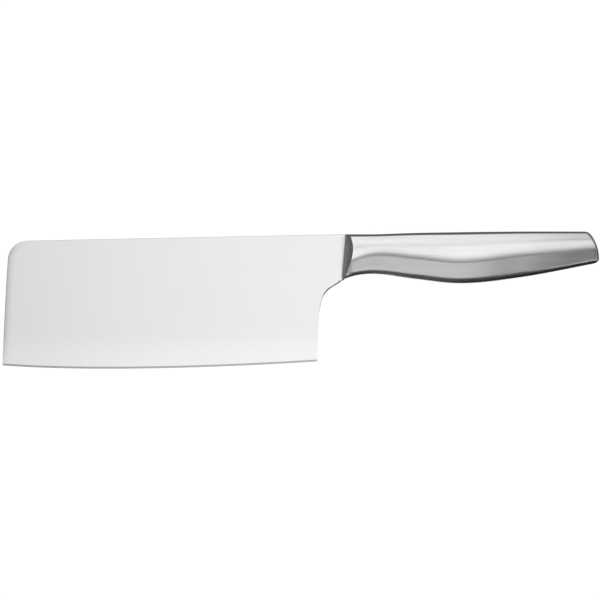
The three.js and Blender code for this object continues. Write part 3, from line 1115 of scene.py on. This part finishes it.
def tent_cloth(name, round_greys, along_greys):
    cloth, tree = bare_material(name)
    at = place_on(tree)
    degrees = calculated(tree, "DEGREES", calculated(tree, "ARCTAN2", at["Y"], at["Z"]))
    greys = {0: grey_ramp(tree, degrees, round_greys), 1: grey_ramp(tree, at["X"], along_greys)}
    shine(tree, add(tree, "ShaderNodeVectorMath", greys, operation="MULTIPLY").outputs["Vector"])
    return cloth


# %% How a panel hangs
tent_radius = 0.8
tent_end = 0.9
layer_gap = 0.01  # how far a panel hangs before the one behind it
panel_steps = 16


def only_reflected(piece):
    """Lets a piece of the studio show in reflections, and neither in the picture nor as light or shadow."""
    piece.visible_camera = False
    piece.visible_diffuse = False
    piece.visible_shadow = False


def sheet(rows):
    """Points and faces of a sheet with the same number of points in each row."""
    points = [point for row in rows for point in row]
    wide = len(rows[0])
    starts = [wide * i + j for i in range(len(rows) - 1) for j in range(wide - 1)]
    return points, [(start, start + 1, start + wide + 1, start + wide) for start in starts]


def hang(name, edges, round_greys, along_greys, layer=0):
    """Hangs a panel. Its edges are places along the tent, each with a lower and an upper angle."""
    radius = tent_radius - layer_gap * layer
    rows = []
    for x, low, high in edges:
        turns = [math.radians(degrees) for degrees in spread(low, high, panel_steps)]
        rows.append([(x, radius * math.sin(turn), radius * math.cos(turn)) for turn in turns])
    cloth = tent_cloth(name.replace("_", " "), round_greys, along_greys)
    only_reflected(stage_mesh(name, *sheet(rows), cloth))
    print(cloth.name, "with", len(round_greys) + len(along_greys), "greys")


def straight(low, high):
    """Edges of a panel that is cut straight from end to end."""
    return [(x, low, high) for x in (-tent_end, tent_end)]


# %% Back, roof and dark strip
back_round = [(16, 0.81), (24, 0.86), (43, 0.92), (48, 0.91), (60, 0.82), (66, 0.62), (72, 0.4)]
back_round += [(78, 0.28), (90, 0.2)]
back_along = [(-0.9, 0.5), (-0.25, 0.8), (-0.1, 1), (0.04, 1), (0.12, 0.97), (0.17, 0.95), (0.195, 0.87)]
back_along += [(0.205, 0.68), (0.215, 0.5), (0.9, 0.3)]
hang("back_panel", straight(16, 100), back_round, back_along)

roof_round = [(-14, 0.93), (-12, 1), (-9, 1), (-5, 0.96), (-2, 0.945), (0, 0.955), (3, 0.975), (7, 0.91)]
roof_round += [(10, 0.86), (16, 0.81)]
roof_along = [(-0.9, 0.25), (-0.45, 0.45), (-0.25, 0.7), (-0.19, 0.76), (-0.1, 0.89), (0, 0.975), (0.06, 1)]
roof_along += [(0.14, 1), (0.19, 0.93), (0.23, 0.81), (0.9, 0.4)]
hang("roof_panel", straight(-14, 16), roof_round, roof_along)

strip_round = [(-38, 0.35), (-35, 0.3), (-32, 0.3), (-28, 0.36), (-24, 0.48), (-20, 0.66), (-14, 0.93)]
strip_along = [(-0.9, 0.3), (-0.2, 0.65), (-0.1, 0.9), (-0.03, 1), (0.15, 1), (0.19, 0.92), (0.25, 0.78)]
strip_along += [(0.9, 0.4)]
hang("dark_strip", straight(-38, -14), strip_round, strip_along)

# %% Hem, front and dark flag
# Towards the butt, the flag's top falls further than the front's foot, and the hem shows between them.
foot = -100  # degrees, just below the floor
hem_along = [(-0.9, 0.42), (-0.3, 0.5), (-0.1, 0.58), (0.05, 0.58), (0.13, 0.56), (0.21, 0.58), (0.235, 0.75)]
hem_along += [(0.26, 0.95), (0.28, 1), (0.34, 1), (0.5, 0.5), (0.9, 0.4)]
hang("hem_panel", straight(foot, -50), [(foot, 0.9), (-50, 1)], hem_along)

front_feet = [(-0.9, -54.5), (0.27, -54.5), (0.285, -56.5), (0.295, -59), (0.9, -59)]
front_round = [(-59, 0.57), (-44, 0.585), (-40.5, 0.59), (-38, 0.35)]
front_along = [(-0.9, 0.5), (-0.1, 1), (0.05, 1), (0.13, 0.95), (0.17, 0.91), (0.21, 0.81), (0.23, 0.68)]
front_along += [(0.248, 0.48), (0.265, 0.32), (0.275, 0.22), (0.285, 0.1), (0.4, 0.08)]
front_along += [(0.5, 0.45), (0.9, 0.4)]
hang("front_panel", [(x, low, -38) for x, low in front_feet], front_round, front_along, layer=1)

flag_tops = [(-0.2, -57), (0.17, -57), (0.215, -54), (0.238, -54), (0.262, -57.5), (0.275, -61), (0.29, -63)]
flag_tops += [(0.3, -66), (0.31, -69), (0.5, -69)]
flag_round = [(foot, 0.03), (-82, 0.045), (-70, 0.07), (-57, 0.09)]
flag_along = [(-0.2, 1), (0, 1), (0.06, 0.8), (0.2, 0.65), (0.25, 0.5)]
hang("dark_flag", [(x, foot, high) for x, high in flag_tops], flag_round, flag_along, layer=2)

# %% [markdown]
# ### Cards
#
# A card closes each end of the tent, darker at its foot. The bolster's slanting face looks at one of them.
# Two more cards lie on the table, cut out round the knife. A black one draws the dark lines along the choil
# and under the handle, where a wide margin of white floor at the belly gives the light line. A dark grey
# one draws the fine line along the handle's back, the spine and the front end. Such lines could be painted
# on the knife, but then they would stay in place when the knife is turned.

# %% End cards
end_greys = [(0, 0.09), (0.15, 0.12), (0.4, 0.24), (0.8, 0.4)]
end_card, end_tree = bare_material("grey end of the tent")
shine(end_tree, grey_ramp(end_tree, place_on(end_tree)["Z"], end_greys))
for x in (-tent_end, tent_end):
    low_corners = [on_floor(x, y) for y in (-tent_radius, tent_radius)]
    high_corners = [(x, y, tent_radius) for y in (tent_radius, -tent_radius)]
    only_reflected(stage_mesh("tent_end", low_corners + high_corners, [(0, 1, 2, 3)], end_card))
print("end cards at", [-tent_end, tent_end], "m")

# %% Cut-outs of the cards on the table
choil_margin, belly_margin, butt_margin, rim_margin = 1, 26, 2, 0.3  # mm between knife and card
neck_run = 8  # mm over which the margin grows behind the choil
cut_steps = 40
skip = 4  # the cut-outs need only every fourth point of a fine curve

# each point of a cut-out: a point of the knife's outline, the way to the card and the margin
before_knife = [(point, (0, -1), choil_margin) for point in choil]
for x in spread(nose_at, handle_length, cut_steps)[1:]:
    margin = lerp(choil_margin, belly_margin, limited(x / neck_run))
    margin = lerp(margin, butt_margin, limited((x - belly_at) / (handle_length - belly_at)))
    before_knife.append((Vector((x, corners_at(x)[3].x)), (0, -1), margin))
before_knife += [(point, (1, 0), rim_margin) for point in butt_curve[::-skip]]

back_line = [Vector((x, corners_at(x)[0].x)) for x in spread(handle_length, 0, cut_steps)]
back_line += [Vector((x, spine_y(x))) for x in spread(0, arc_stop.x, cut_steps)[1:]]
behind_knife = [before_knife[-1]]
behind_knife += [(point, (0, 1), rim_margin) for point in back_line]
behind_knife += [(point, (point - arc_middle).normalized(), rim_margin) for point in corner_arc[::-skip]]
behind_knife += [(point, (-1, 0), rim_margin) for point in front_curve[front_steps::-skip]]
print("points along the cut-outs:", len(before_knife), "and", len(behind_knife))

# %% Cards on the table
card_reach = 2400  # mm, past the walls of the tent
card_lift = 0.0005  # m above the floor


def table_card(name, grey, cut_out):
    """A card on the floor whose inner edge follows the knife at a margin."""
    card, tree = bare_material(name.replace("_", " "))
    shine(tree, shade(grey))
    rows = []
    for point, away, margin in cut_out:
        ends = [point + Vector(away) * distance for distance in (margin, card_reach)]
        rows.append([on_floor(*place(end.x, end.y, 0).xy, card_lift) for end in ends])
    only_reflected(stage_mesh(name, *sheet(rows), card))
    print(name.replace("_", " "), "of grey", grey)


table_card("black_card", 0.02, before_knife)
table_card("grey_card", 0.1, behind_knife)

# %% [markdown]
# ## The camera
#
# The knife is seen square from above. An orthographic camera would do, but a real picture has a little
# perspective, so a long lens looks down from far away. One pixel is 0.526 mm on the knife, which lies
# almost in the middle.

# %% Camera
picture_width = 600  # pixels
pixel = 0.000526  # metres on the knife
shift_x, shift_y = -0.8, 0.1  # pixels from the knife's middle to the picture's
lens = 1000
sensor = 36
camera_data = bpy.data.cameras.new("studio camera")
camera_data.lens = lens
camera_data.sensor_width = sensor
camera = bpy.data.objects.new("studio_camera", camera_data)
scene.collection.objects.link(camera)
camera.location = (shift_x * pixel, shift_y * pixel, zero.z + picture_width * pixel * lens / sensor)
scene.camera = camera
print("camera height in m:", round(camera.location.z, 3))
